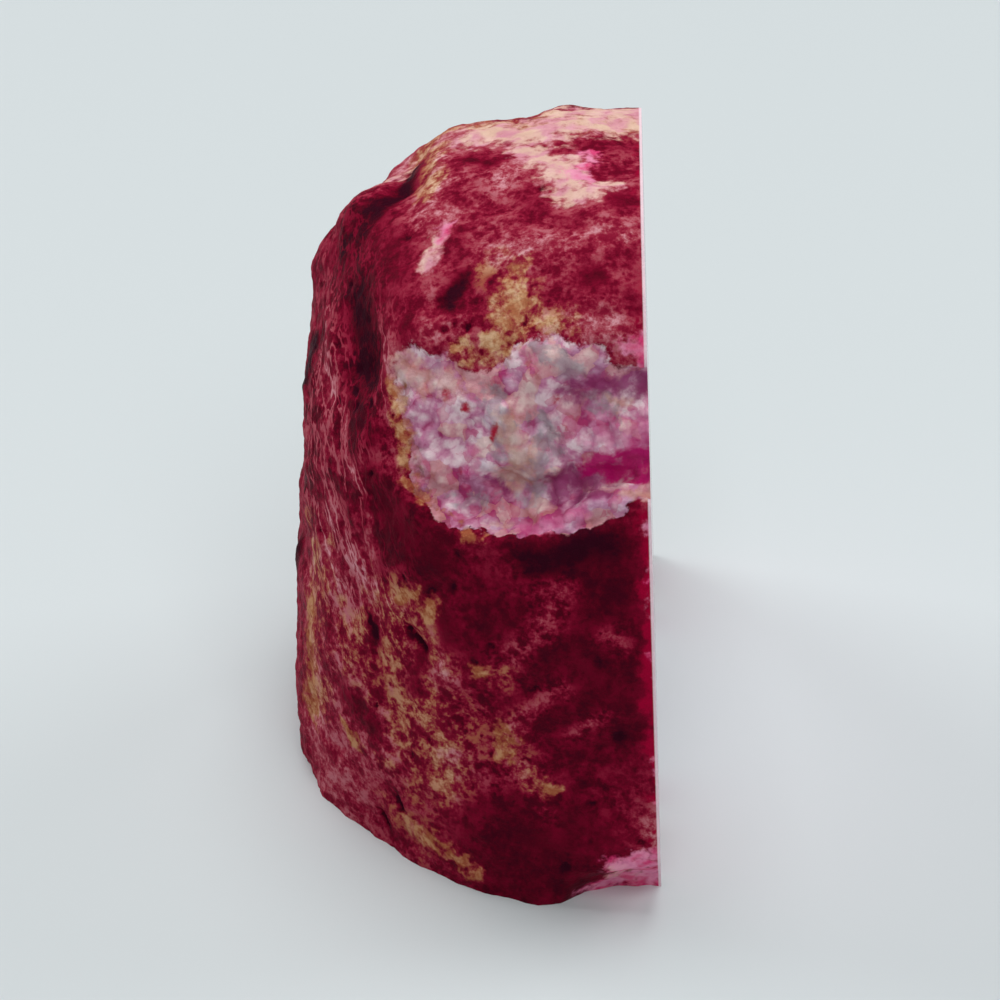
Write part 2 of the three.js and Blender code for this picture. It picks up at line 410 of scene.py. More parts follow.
OCHRE = [
    ("tongue over the pocket", 1.8, [(7.2, -28.6, 96.8), (7.1, -31.2, 95)]),
    ("tongue's tip", 2.6, [(7.8, -33.2, 93), (6, -35, 90.6), (4.2, -36.6, 87.7)]),
    ("beside the tongue", 1.1, [(-0.5, -35, 88), (0.4, -36.2, 85.8), (3, -37, 86.3)]),
    ("band over the pocket", 1.0, [(9, -36, 92.2), (13, -36.6, 92.8)]),
    ("pocket's far rim", 1.5, [(-9.6, -34, 80), (-9.3, -36, 76), (-7.9, -38.3, 71), (-5.4, -41, 66.2)]),
    ("pocket's foot rim", 0.8, [(-4.5, -42, 65.8), (0, -45.5, 63.8), (3, -46.8, 63.2)]),
    ("corner", 1.7, [(-4.6, -45.6, 50.5), (-5.4, -45.1, 47.5)]),
    ("corner, left", 1.6, [(-9.7, -41.7, 48.8), (-7, -43.8, 51.5)]),
    ("side, low", 3.2, [(-26.2, -21.5, 33), (-25.8, -22.8, 21), (-26.3, -21.6, 15)]),
    ("corner, low", 1.7, [(-19, -33.5, 19.5), (-17.8, -35, 17.5)]),
    ("corner's foot", 2.0, [(-8.5, -42.3, 8), (-4, -45.5, 6), (-0.5, -47.3, 5), (1.4, -47.8, 3.4)]),
    ("front, high", 1.4, [(3.2, -48.9, 42.4), (2.6, -48.6, 40.2)]),
    ("front, middle", 1.7, [(6.7, -49.7, 31.8), (6.4, -49.9, 27.5)]),
    ("front, low", 1.3, [(12.3, -51, 22.8), (14, -51.3, 22)]),
]
PALE = [  # where the rind's dye is thinner
    ("left of the crown", 3.2, [(-6.8, 6, 100.5), (-6, -3, 100.2), (-6, -12, 99), (-5.6, -16, 98.4)]),
    ("brow, near the tongue", 2.6, [(4, -26, 97.8), (9, -26, 98.6)]),
    ("beside the cream tongue", 2.2, [(5, -2.5, 103), (5.6, -10.5, 102.3)]),
    ("over the dark band", 2.0, [(13, -26.5, 99.8), (19, -25, 100.8), (23, -26, 100)]),
    ("band over the pocket", 1.8, [(12, -36.6, 92.2), (16, -37, 92.6), (21, -38, 92.3)]),
    ("brow, left", 1.7, [(-5.5, -29.5, 91.8), (-5.6, -31.7, 89.8), (-3.2, -33.2, 89.8)]),
    ("over the pocket's far end", 1.4, [(-4.2, -34, 88)]),
    ("beside the pocket", 2.4, [(-12.4, -28.8, 86), (-10.8, -32.3, 81.5)]),
    ("streak down the side", 0.8, [
        (-19, -25, 73.3), (-18, -29, 70), (-17, -32, 66.7), (-13.5, -37, 61), (-14, -37.2, 54),
    ]),
    ("streak on the shoulder", 1.5, [(-22.5, -13, 81), (-22, -18.5, 75), (-20.6, -23, 72)]),
    ("side, middle", 3.0, [(-21.4, -28.2, 54), (-22.5, -26.5, 51.4), (-21, -29, 46)]),
    ("corner's top", 2.0, [(-14.3, -37, 55)]),
    ("corner, high", 2.6, [(-17.4, -33.8, 52), (-14.8, -36.7, 50), (-10, -41, 48), (-9.9, -41.3, 53)]),
    ("corner, middle", 2.2, [(-3.5, -46.3, 44), (-2, -47, 38.6)]),
    ("corner, lower", 2.4, [(-3, -46.5, 29), (-1.4, -47.2, 25), (-2, -46.8, 19)]),
    ("side, high", 3.3, [(-25, -22, 46), (-26, -21, 37), (-25, -24, 24), (-26, -22, 15)]),
    ("branch over the front", 2.4, [
        (8, -49.6, 59.5), (14, -50.7, 57), (12.5, -51, 52), (8, -50.4, 46.5), (5.9, -49.7, 40.6),
    ]),
    ("branch, low", 1.8, [(15, -51.6, 41), (11, -50.8, 37), (7.5, -50, 32)]),
    ("spot by the face", 1.7, [(21.8, -52.4, 50), (24, -52.6, 49)]),
    ("front, far down", 1.3, [(20.5, -52.2, 36), (17, -51.6, 32)]),
    ("front's foot, left", 1.6, [(9, -50.4, 25.5), (12, -51, 21), (15, -51.5, 15)]),
    ("over the chip, by the face", 2.0, [(27.6, -53.1, 14), (28.3, -53, 17)]),
]
CRIMSON = [
    ("beside the crown's crease", 2.2, [(-3.5, -1.5, 101.2), (4, -1, 103)]),
    ("brow, high left", 1.5, [(-3.8, -8.5, 100.6), (-2.5, -12, 100)]),
    ("beside the streak", 1.8, [(-1.5, -20, 98.6), (-1.6, -25, 96.4)]),
    ("blot", 2.7, [(8.8, -13, 102.3), (10.5, -19.5, 101.3)]),
    ("under the pale band", 1.4, [(14.4, -22.2, 101.2), (16.4, -24.2, 100.7)]),
    ("under the strip", 1.8, [(12, 2.3, 103.8), (17, 3, 103.8), (24, 2, 103.3), (28, 0, 103)]),
    ("brow, left", 3.4, [(-14.4, -13.6, 93.6), (-11.5, -16, 95.4), (-11, -22, 92.4), (-9.5, -28, 90.2)]),
    ("brow, by the face", 2.0, [(23, -29, 99.3), (25, -32, 97.8), (24.5, -36, 94.5)]),
    ("over the band", 0.8, [(8, -32.6, 95), (12, -34, 94.5), (16, -34.6, 94.6)]),
    ("beside the tongue", 1.4, [(4.1, -30.6, 94.4), (3, -33, 92)]),
    ("side", 2.0, [(-18, -32, 60.5), (-17.2, -33.6, 57)]),
    ("corner, dark", 1.6, [(-14, -38, 36), (-12, -39.5, 31)]),
    ("over the chip", 2.4, [(22, -52.7, 13.5), (24.4, -53, 13.8)]),
]
MAROON = [
    ("back of the crown", 1.5, [(10, 22, 102), (30, 22, 101)]),
    ("near the face", 1.7, [(20, -15.8, 103), (22, -18.5, 102.6)]),
    ("crown's crease", 1.0, [(-1.5, -1.2, 101.8), (1.5, -2.4, 102.4), (3.8, -1.8, 103)]),
    ("under the strip", 0.7, [(10.2, 1.5, 103.6), (12.6, 2.8, 103.8)]),
    ("end of the strip", 0.7, [(8.6, -3.2, 103.5), (9.8, -3, 103.5)]),
    ("over the pocket", 1.3, [(17, -32.2, 97), (18.8, -32.6, 97)]),
    ("wedge over the pocket", 1.1, [(-7.8, -31.3, 88.8), (-7.6, -32.8, 86.2)]),
    ("front, high", 1.6, [(7.4, -50, 52), (8.8, -50.2, 53)]),
    ("under the shoulder's streak", 1.5, [(-18.9, -23.3, 76.4)]),
    ("corner's edge", 1.5, [(-2.2, -46.8, 48.6), (-1.8, -47, 45.4)]),
    ("corner's eddy", 1.4, [(-6.6, -44, 40), (-6.8, -43.9, 34)]),
    ("front's foot", 3.0, [(12, -51, 12.5), (16, -51.6, 14.5)]),
    ("corner's bruise", 2.0, [(-18.5, -34.4, 26.5), (-14.5, -38.4, 24.5)]),
    ("under the shoulder", 2.2, [(-13.8, -34.4, 73), (-16.6, -29, 75), (-16.2, -31.2, 70.5)]),
    ("corner's soft slit", 0.9, [(-14.6, -37.1, 43.9), (-13.1, -38.8, 38.8)]),
    ("side, by the pocket", 2.5, [(-12.8, -36.6, 67), (-9.5, -40, 61), (-3, -45.5, 59)]),
]
# Near-black maroon rind. In the notch beside the crown this is painted shadow, and in the hollows of the
# shoulder and brow it is painted shade on the dark rind.
DARK = [
    ("notch beside the crown", 2.1, [
        (-10.4, 6, 99.4), (-11.6, 0, 98.7), (-13.4, -4, 97.3), (-15, -7, 95.9),
    ]),
    ("shoulder's hollow", 3.8, [(-17.3, -19.5, 86.8), (-17, -24, 82.8), (-16.3, -26.5, 79.5)]),
    ("brow's hollow", 1.6, [(-3.4, -30.8, 91.8), (-0.9, -29, 94)]),
    ("side knob", 2.6, [(-26, -10, 74), (-26.5, -10, 68)]),
    ("side, lower knob", 2.0, [(-29.5, -9, 38), (-30, -9, 35)]),
    ("front, under the ledge", 3.2, [(10, -49.5, 61), (15, -50, 62.3), (20, -50, 64)]),
]
SLITS = [  # with their depth; these are dark too
    ("brow's pore", 0.5, [(-1.8, -33.6, 89.7)], 0.6),
    ("brow's second pore", 0.5, [(0.4, -34.1, 90)], 0.6),
    ("pocket rim's pore", 0.6, [(8.3, -36.5, 91), (8.6, -35.9, 91.8)], 0.7),
    ("pocket rim's second pore", 0.5, [(-0.7, -35.4, 87.8)], 0.5),
    ("far rim's pore", 0.4, [(-9.9, -34.6, 78.4)], 0.5),
    ("far rim's second pore", 0.4, [(-9.7, -35.4, 76.2)], 0.5),
    ("corner", 0.7, [(-8.4, -42.6, 44), (-5.8, -44.6, 42)], 1.0),
    ("corner, short", 0.5, [(-14.3, -37.3, 43), (-13.4, -38.4, 40)], 0.4),
    ("corner's foot", 0.6, [(-10.8, -41, 12), (-10, -41.7, 10)], 0.7),
    ("corner's foot, left", 0.6, [(-13.6, -37.9, 6.2), (-12.8, -38.6, 4.2)], 0.7),
]
SPECKS = [  # red spots in the pocket's crystal
    ("high left", 0.75, [(-2.4, -37.8, 80.4)]),
    ("left", 0.7, [(0.2, -38.8, 79.4)]),
    ("middle", 0.8, [(4.6, -41, 76.6), (5, -41, 75.4)]),
    ("high", 0.8, [(9.1, -39.2, 86.8), (9.4, -39.3, 85.8)]),
    ("under the knob", 0.8, [(14.5, -40.8, 82.8), (14.1, -41, 81.6)]),
    ("right of the middle", 0.7, [(15.1, -41.8, 78.1)]),
    ("on the knob", 0.7, [(13.6, -39.4, 88)]),
    ("low left", 0.6, [(1, -40.7, 71.3)]),
    ("by the hollow", 0.6, [(18.6, -41.7, 80.6)]),
]

# Relief in strokes, each with how high it stands
POCKET_STROKES = [
    ("under the overhang", 2.8, [(17, -40.7, 83), (20.5, -40.7, 84), (28, -40.4, 85.6)], -1.9),
    ("overhang's brim", 1.8, [
        (13, -40, 83.6), (17, -40, 86.4), (22, -39.8, 88), (28, -39.5, 89.6),
    ], 1.0),
    ("knob's left lump", 1.6, [(10.3, -38.3, 89.3), (10.8, -39, 86.5)], 1.0),
    ("knob's right lump", 1.9, [(15.3, -39, 89.3), (15.8, -39.6, 86.8)], 1.2),
    ("crease over the ledge", 1.4, [
        (3, -42, 69), (9, -43.3, 69), (14, -43.6, 70), (24, -43.8, 72.5),
    ], -1.3),
    ("lip by the face", 1.3, [(12, -46, 66.5), (18, -47, 68.5), (23, -47.6, 70.5), (28, -48, 72)], 0.9),
    ("middle column", 2.0, [(6, -41, 79), (9, -42, 75), (10, -42.5, 71.5)], 0.9),
    ("beside the column", 1.2, [(11.5, -41.5, 79), (13, -42.3, 74.5)], -0.9),
]
RIND_STROKES = [
    ("side knob", 2.2, [(-26, -10.5, 71.5), (-26, -11, 68)], 0.7),
    ("over the side knob", 3.5, [(-24.9, -4, 82), (-24.5, -10, 78)], -1.0),
    ("side, lower knob", 1.7, [(-29.5, -9, 38), (-30, -9, 35)], 0.8),
    ("crown", 9.0, [(3, 16, 102), (12, 20, 101.5), (26, 19, 102)], 1.1),
    ("shoulder", 4.0, [(-18.5, -3, 93.7), (-19, 0, 92.7)], 1.7),
    ("notch", 3.8, [(-12.5, 11, 98.5), (-12.5, 4, 99), (-12, -1, 98.6)], -2.7),
    ("shoulder's hollow", 5.0, [(-16.5, -19, 87), (-15.5, -26, 79.5)], -1.4),
    ("brow's hollow", 1.8, [(-3.4, -30.8, 91.8), (-0.9, -29, 94)], -0.7),
]

# The rind's zones: where each is, how far it reaches, how pale it is, and how much that varies.
# Paleness 0 is nearly black maroon, 0.3 crimson, 0.6 dusty rose and 1 cream.
ZONES = [
    ("crown and brow", (8, -20, 100), 17, 0.455, 0.18),
    ("far of the crown", (5, 25, 98), 16, 0.45, 0.20),
    ("brow, left", (-12, -19, 94), 7, 0.32, 0.15),
    ("left of the crown", (-6.4, -2, 100), 6, 0.53, 0.19),
    ("shoulder", (-18.5, -9.5, 93), 6, 0.11, 0.15),
    ("side", (-20, -25, 66), 17, 0.38, 0.24),
    ("under the pocket, left", (-8, -41, 57), 8, 0.12, 0.09),
    ("corner", (-14, -38, 32), 15, 0.50, 0.24),
    ("side's foot", (-22, -28, 8), 9, 0.53, 0.20),
    ("middle of the front", (3, -48.5, 28), 8, 0.34, 0.21),
    ("front", (18, -51, 46), 17, 0.12, 0.07),
    ("branch over the front", (11, -50.6, 53), 5, 0.22, 0.20),
    ("front's foot", (12, -51, 10), 12, 0.13, 0.08),
    ("over the pocket, by the face", (25, -36, 94), 7, 0.48, 0.17),
]
REST_OF_RIND = (0.38, 0.17)  # paleness and variation away from every zone
REST_WEIGHT = 0.05


def mix_zones(points):
    """Paleness and its variation at each point, blended between the zones round it."""
    total = np.full(len(points), REST_WEIGHT)
    paleness, variation = REST_OF_RIND[0] * total, REST_OF_RIND[1] * total
    for _, place, reach, zone_paleness, zone_variation in ZONES:
        weight = fade(np.linalg.norm(points - place, axis=1), 0.8 * reach) ** 2
        total = total + weight
        paleness = paleness + weight * zone_paleness
        variation = variation + weight * zone_variation
    return paleness / total, variation / total


# ---------------- relief, dye, and painted light and shade

PIT_SPACING = 3.4
PIT_SHARE = 0.22  # how many of the places for a pit have one
PIT_WIDTHS = (0.07, 0.18)  # the narrowest and the widest, in spacings
BIG_BLEB, SMALL_BLEB = 3.7, 1.8  # how far across the crystal blebs are
BEHIND_CUT = 0.1  # how far the rind keeps behind the planes of the cuts, except at their rims
FULL_DARK = 1.2  # dark marks are at their full a little before their middle
# A number added to the skin's places takes a part of the noise that nothing else uses.

directions, sides = grid_directions()
edges = edges_of(sides)
quads = np.concatenate([quads_of(side) for side in sides.values()])
radii = measure_radii(directions)

face_rim = np.concatenate([sides["near"][0], sides["crown"][0, 1:-1], sides["far"][0, ::-1]])
base_rim = np.concatenate([sides["far"][:, 0], sides["back"][-2:0:-1, 0], sides["near"][::-1, 0]])
on_face = np.isin(np.arange(len(radii)), face_rim)
on_base = np.isin(np.arange(len(radii)), base_rim)

rough_skin = HEART + directions * radii[:, None]
lengths = np.linalg.norm(rough_skin[edges[:, 0]] - rough_skin[edges[:, 1]], axis=1)
radii = smooth_over(radii, edges, lengths, on_face | on_base, SMOOTHING)
skin = HEART + directions * radii[:, None]
turned = facing_in(skin, quads)
quads[turned] = quads[turned][:, ::-1]
normals = normals_of(skin, quads)

wandering = stray(stray(skin, 9, 1.6), 2.2, 0.45)
inset = pocket_inset(stray(stray(skin, 3.5, 0.9), 1.4, 0.5))
in_pocket = ramp(inset, -0.4, 0.6)
hidden = ramp(skin[:, 1], -6, 18)
side_facing = ramp(-normals[:, 0], 0.35, 0.85)

# Slits, pores and pits
slit_depth = np.zeros(len(skin))
slit_dark = np.zeros(len(skin))
for _, width, path, depth in SLITS:
    cut = fade(distance_to(path, blend(skin, wandering, 0.4)), width)
    slit_depth = np.maximum(slit_depth, depth * cut)
    slit_dark = np.maximum(slit_dark, cut)

pit_distance, _, pit_own = grains(stray(skin, 2, 0.4), PIT_SPACING)
pit_width = blend(*PIT_WIDTHS, pit_own / PIT_SHARE)
pits = np.where(pit_own < PIT_SHARE, fade(pit_distance, pit_width), 0) * (1 - in_pocket)

# Crystal blebs, large and small
big_bleb, big_crease, big_own = grains(stray(skin, 3, 0.6), BIG_BLEB)
small_bleb, small_crease, small_own = grains(stray(skin + 50, 2, 0.3), SMALL_BLEB)
big_dome, small_dome = (1 - (1.2 * bleb) ** 2 for bleb in (big_bleb, small_bleb))
# the own numbers give each lump its tone; the small domes paint a highlight on the small lumps' middles
blebs = 0.55 * big_own + 0.25 * small_own + 0.2 * small_dome
# the crystal is tinted darker and pinker in these creases: pink there, and painted shade
creases = np.maximum(big_crease, 0.6 * small_crease)

rind_relief = 0.6 * lumps(skin, 11) + 0.34 * lumps(skin + 20, 3.8, 4)
rind_relief += 0.18 * side_facing * lumps(skin, 1.6, 3, (1, 1, 5))
rind_relief -= 0.5 * pits
crystal_relief = 1.0 * (big_dome - 0.6) + 0.4 * (small_dome - 0.6) + 0.7 * lumps(skin + 60, 6)

pocket_foot = 1 - ramp(skin[:, 2], 72, 86)
crisp_edge = -blend(0.3, 0.9, pocket_foot) * np.tanh(inset / 0.7) * fade(inset, 2.0)
rind_relief = raise_strokes(rind_relief, RIND_STROKES)
crystal_relief = raise_strokes(crystal_relief, POCKET_STROKES)
relief = blend(rind_relief, crystal_relief, in_pocket) + crisp_edge - slit_depth
points = skin + normals * relief[:, None]
for on_plane, normal in ((on_face, FACE_NORMAL), (on_base, BASE_NORMAL)):
    above = (points - HEART) @ normal
    excess = np.where(on_plane, above, np.maximum(above + BEHIND_CUT, 0))
    points -= excess[:, None] * normal

# Dye, with painted shade and the painted glow of light through the stone
cream, ochre, warm = (paint(marks, wandering) for marks in (CREAM, OCHRE, WARM))
pale, crimson, maroon, dark = (paint(marks, wandering) for marks in (PALE, CRIMSON, MAROON, DARK))
dark = np.minimum(FULL_DARK * dark, 1)
clouds = lumps(skin + 500, 14, 4)
paleness, variation = mix_zones(wandering)
paleness = paleness + 0.45 * hidden * lumps(skin + 300, 17, 4) + 0.24 * pale
for tone, share in ((0.32, 0.9 * crimson), (0.15, 0.9 * maroon), (0.0, dark)):
    paleness = blend(paleness, tone, share)
variation = blend(variation, 0.22, pale)
variation = variation * (1 - 0.6 * np.maximum.reduce([0.4 * crimson, maroon, dark, cream]))
from_face = (HEART - skin) @ FACE_NORMAL
through_light = fade(from_face, 1.9) * (1 - 0.65 * ramp(skin[:, 2], 60, 76)) * (1 - in_pocket)
through_light *= blend(0.5, 1, ramp(skin[:, 2], 14, 45))
paleness = blend(paleness, 0.66, 0.8 * cream * (1 - in_pocket)) + 0.12 * through_light
cream = np.maximum(cream, hidden * ramp(clouds, 0.4, 0.9)) * (1 - slit_dark)
ochre = np.maximum(ochre, hidden * ramp(-clouds, 0.4, 0.9))
warm = np.maximum(warm, hidden * ramp(lumps(skin + 900, 24), -0.1, 0.5))

DYE_AND_PAINTED_LIGHT_MAPS = {
    "paleness": paleness,
    "variation": variation,
    "cream": cream,
    "pink": paint(PINK, wandering),
    "ochre": ochre,
    "warm": warm,
    "grey": paint(GREY, wandering),
    # magenta crystal, with a painted glow of light that comes through the stone by the polished face
    "magenta": np.minimum(2.2 * paint(MAGENTA, wandering), 1),
    # painted shade in the pocket's crystal
    "shade": paint(PAINTED_SHADE, wandering),
    "specks": paint(SPECKS, wandering),
    "glow": through_light,  # light that comes through the stone by the polished face
    "fibre": side_facing * ramp(skin[:, 2], 22, 60) * (1 - hidden) * (1 - in_pocket),  # drawn-out dye
    "pits": np.maximum(pits, slit_dark),
    # painted shade: the crystal is made darker low in the pocket, just over the ledge
    "blebs": blebs - 0.3 * (1 - ramp(skin[:, 2], 66, 73)),
    "creases": creases,
    "pocket": inset * blend(1, 3, pocket_foot),  # how far inside the pocket's outline
}


# ---------------- the cut faces

CUT_SHARES = (0.02, 0.06, 0.12, 0.2, 0.3, 0.43, 0.62, 0.82)  # the rings' places from rim to middle
EDGE_STEPS = 40  # along the edge between the polished face and the base
RIM_SOFTENING = 6  # rounds that take a rim's nicks out of the rings inside it
FACE_MIDDLE_HEIGHT = 45  # where the rings on the polished face close
BASE_MIDDLE_DEPTH = 0.45  # where those on the base close, in shares of the stone's depth
RIND, FACE, BASE = range(3)


def soften(loop, rounds):
    """A closed loop of points with its sharp turns eased."""
    for _ in range(rounds):
        loop = loop / 2 + (np.roll(loop, 1, 0) + np.roll(loop, -1, 0)) / 4
    return loop


def build_cuts(points):
    """The flat cuts: extra points, and faces in rings between each cut's rim and its middle."""
    near_foot, far_foot = points[sides["near"][0, 0]], points[sides["far"][0, 0]]
    steps = np.linspace(0, 1, EDGE_STEPS + 1)[1:-1, None]
    all_points = [points, blend(near_foot, far_foot, steps)]
    count = len(points) + len(steps)
    edge = np.arange(len(points), count)
    face_middle = HEART + [-FACE_MIDDLE_HEIGHT * math.tan(FACE_LEAN), 0, FACE_MIDDLE_HEIGHT]
    base_middle = HEART + [-BASE_MIDDLE_DEPTH * DEPTH, 0, 0]
    cuts = [
        (np.concatenate([face_rim, edge[::-1]]), face_middle, FACE_NORMAL, FACE),
        (np.concatenate([base_rim, edge]), base_middle, BASE_NORMAL, BASE),
    ]
    faces = []
    materials = []
    for loop, middle, normal, material in cuts:
        rim = np.concatenate(all_points)[loop]
        soft_rim = soften(rim, RIM_SOFTENING)
        rings = [loop]
        for share in CUT_SHARES:
            all_points.append(blend(soft_rim, middle, share))
            rings.append(count + np.arange(len(loop)))
            count += len(loop)
        all_points.append(middle[None])
        swept = np.cross(rim - middle, np.roll(rim, -1, 0) - middle).sum(0)
        turn = 1 if swept @ normal > 0 else -1
        for outer, inner in zip(rings, rings[1:]):
            ring = np.stack([outer, np.roll(outer, -1), np.roll(inner, -1), inner], 1)
            faces += ring[:, ::turn].tolist()
        fan = np.stack([rings[-1], np.roll(rings[-1], -1), np.full(len(loop), count)], 1)
        faces += fan[:, ::turn].tolist()
        materials += [material] * (len(rings) * len(loop))
        count += 1
    return np.concatenate(all_points), faces, materials


def depth_under_rind(all_points):
    """How far every point lies from the rind, which the bands of the agate follow."""
    rind = KDTree(len(points))
    for number, place in enumerate(points.tolist()):
        rind.insert(place, number)
    rind.balance()
    depth = np.zeros(len(all_points))
    for number in range(len(points), len(all_points)):
        depth[number] = rind.find(all_points[number].tolist())[2]
    return depth


# ---------------- the mesh, and its unwrapping

SHEET = 238.0  # millimetres across the square sheet that the stone is laid out on
GAP = 1.0  # round each part on it


def lay_out(all_points, cut_faces, cut_materials):
    """Where each face's corners go on the sheet, one row for each corner."""
    nx, ny, nz = CELLS
    deep, wide, upper = DEPTH + 2 * GAP, WIDTH + 2 * GAP, HEIGHT + 2 * GAP
    layout = {  # left, bottom, step along the rows, step along the columns
        "back": (0, 0, (WIDTH / ny, 0), (0, HEIGHT / nz)),
        "crown": (2 * deep, upper, (0, DEPTH / nx), (WIDTH / ny, 0)),
        "near": (0, upper, (DEPTH / nx, 0), (0, HEIGHT / nz)),
        "far": (deep, upper, (DEPTH / nx, 0), (0, HEIGHT / nz)),
    }
    laid = []
    for name, side in sides.items():
        left, bottom, row_step, column_step = layout[name]
        rows, columns = (np.arange(count)[:, None] for count in side.shape)
        grid = (rows * row_step)[:, None] + columns * column_step
        laid.append(quads_of(grid + (left + GAP, bottom + GAP)))
    laid = np.concatenate(laid)
    laid[turned] = laid[turned][:, ::-1]
    corners = [laid.reshape(-1, 2)]
    for face, material in zip(cut_faces, cut_materials):
        x, y, z = all_points[face].T
        if material == FACE:
            spots = wide + y + WIDTH / 2, z
        else:
            spots = 2 * deep + y + WIDTH / 2, upper + deep + x + DEPTH / 2
        corners.append(np.stack(spots, 1) + GAP)
    return np.concatenate(corners) / SHEET


def build_stone():
    all_points, cut_faces, cut_materials = build_cuts(points)
    mesh = bpy.data.meshes.new("agate_stone")
    mesh.from_pydata((all_points * MM).tolist(), [], quads.tolist() + cut_faces)
    mesh.polygons.foreach_set("material_index", [RIND] * len(quads) + cut_materials)
    sheet = mesh.uv_layers.new(name="OFBake")
    sheet.uv.foreach_set("vector", lay_out(all_points, cut_faces, cut_materials).ravel())

    maps = dict(DYE_AND_PAINTED_LIGHT_MAPS, depth=depth_under_rind(all_points))
    for name, values in maps.items():
        layer = mesh.attributes.new(name, "FLOAT", "POINT")
        layer.data.foreach_set("value", np.resize(values, len(all_points)).astype(np.float32))

    mesh.shade_smooth()
    ends = np.empty(2 * len(mesh.edges), int)
    mesh.edges.foreach_get("vertices", ends)
    surfaces = np.zeros((3, len(all_points)), bool)
    surfaces[RIND, : len(points)] = True
    for face, material in zip(cut_faces, cut_materials):
        surfaces[material, face] = True
    shared = surfaces[:, ends.reshape(-1, 2)].all(2).sum(0) > 1
    mesh.attributes.new("sharp_edge", "BOOLEAN", "EDGE").data.foreach_set("value", shared)

    for material in (make_dyed_rind(), make_polished_face(), make_sawn_base()):
        mesh.materials.append(material)
    stone = bpy.data.objects.new("agate_stone", mesh)
    scene.collection.objects.link(stone)
    return stone


# ---------------- drawing materials


def colour(code):
    """A colour as Blender wants it, from its usual six-digit code."""
    shares = [int(code[n : n + 2], 16) / 255 for n in (1, 3, 5)]
    return tuple(s / 12.92 if s <= 0.04045 else ((s + 0.055) / 1.055) ** 2.4 for s in shares) + (1,)


class Board:
    """A tree of shader nodes, with a short call for each kind of node used here."""

    def __init__(self, tree):
        self.tree = tree

    def node(self, kind, inputs=(), output=0, **settings):
        node = self.tree.nodes.new("ShaderNode" + kind)
        for name, value in settings.items():
            setattr(node, name, value)
        for socket, value in dict(inputs).items():
            self.join(value, node.inputs[socket])
        return node.outputs[output]

    def join(self, value, socket):
        """Links a value to a socket, or sets the socket to it. A colour may be given by its code."""
        if isinstance(value, bpy.types.NodeSocket):
            self.tree.links.new(value, socket)
        else:
            socket.default_value = colour(value) if isinstance(value, str) else value

    def math(self, operation, *values, clamp=False):
        return self.node("Math", enumerate(values), operation=operation, use_clamp=clamp)

    def total(self, start, *parts):
        """A start value with some others added, each times its weight."""
        for value, weight in parts:
            start = self.math("MULTIPLY_ADD", value, weight, start)
        return start

    def step(self, value, start, end, low=0.0, high=1.0):
        inputs = {"Value": value, "From Min": start, "From Max": end, "To Min": low, "To Max": high}
        return self.node("MapRange", inputs, interpolation_type="SMOOTHSTEP")

    def mix(self, share, a, b):
        return self.node("Mix", {0: share, 2: a, 3: b}, data_type="FLOAT")

    def tint(self, share, a, b):
        return self.node("Mix", {0: share, 6: a, 7: b}, output=2, data_type="RGBA")

    def ramp(self, value, colours):
        """A colour ramp from a list of positions and colour codes."""
        colour_out = self.node("ValToRGB", {"Fac": value})
        stops = colour_out.node.color_ramp.elements
        stops.remove(stops[-1])
        stops[0].position, stops[0].color = colours[0][0], colour(colours[0][1])
        for position, code in colours[1:]:
            stops.new(position).color = colour(code)
        return colour_out

    def centre(self, field):
        """A field of about 0 to 1 moved so that its middle is 0."""
        return self.math("SUBTRACT", field, 0.5)

    def lay(self, under, mask, strength, over):
        """A colour with another laid over it by a mask, and no more strongly than is given."""
        return self.tint(self.math("MULTIPLY", mask, strength), under, over)

    def vector(self, operation, *values, **inputs):
        return self.node("VectorMath", dict(enumerate(values), **inputs), operation=operation)

    def vector_dot(self, a, b):
        return self.node("VectorMath", {0: a, 1: b}, output=1, operation="DOT_PRODUCT")

    def noise(self, place, size, detail=3.0, roughness=0.5):
        varies = isinstance(size, bpy.types.NodeSocket)
        scale = self.math("DIVIDE", 1.0, size) if varies else 1 / size
        inputs = {"Vector": place, "Scale": scale, "Detail": detail, "Roughness": roughness}
        return self.node("TexNoise", inputs)

    def stray(self, place, size, reach):
        """The place moved about at random by up to about reach."""
        wander = self.node("TexNoise", {"Vector": place, "Scale": 1 / size, "Detail": 2.0}, output=1)
        centred = self.vector("SUBTRACT", wander, (0.5, 0.5, 0.5))
        return self.vector("ADD", place, self.vector("SCALE", centred, Scale=2 * reach))

    def cells(self, place, size, seam_width):
        """The cell group's seam, dome, own number and hue."""
        inputs = {"Place": place, "Size": size, "Seam Width": seam_width}
        outputs = self.group(cell_group, inputs).node.outputs
        return [outputs[name] for name in ("Seam", "Dome", "Own", "Hue")]

    def map(self, name):
        return self.node("Attribute", output=2, attribute_name=name)

    def place(self):
        """The place on the stone in millimetres."""
        return self.vector("SCALE", self.node("TexCoord", output=3), Scale=1 / MM)

    def group(self, tree, inputs, output=0):
        return self.node("Group", inputs, output, node_tree=tree)


def new_group(name, inputs, outputs):
    """An empty node group with the named sockets: its board, its inputs, and a call that ends it."""
    tree = bpy.data.node_groups.new(name, "ShaderNodeTree")
    for direction, sockets in (("INPUT", inputs), ("OUTPUT", outputs)):
        for socket, kind in sockets.items():
            tree.interface.new_socket(socket, in_out=direction, socket_type="NodeSocket" + kind)
    given = tree.nodes.new("NodeGroupInput").outputs
    end = tree.nodes.new("NodeGroupOutput")

    def put_out(**results):
        for socket, result in results.items():
            tree.links.new(result, end.inputs[socket])
        return tree

    return Board(tree), given, put_out


# ---------------- effects


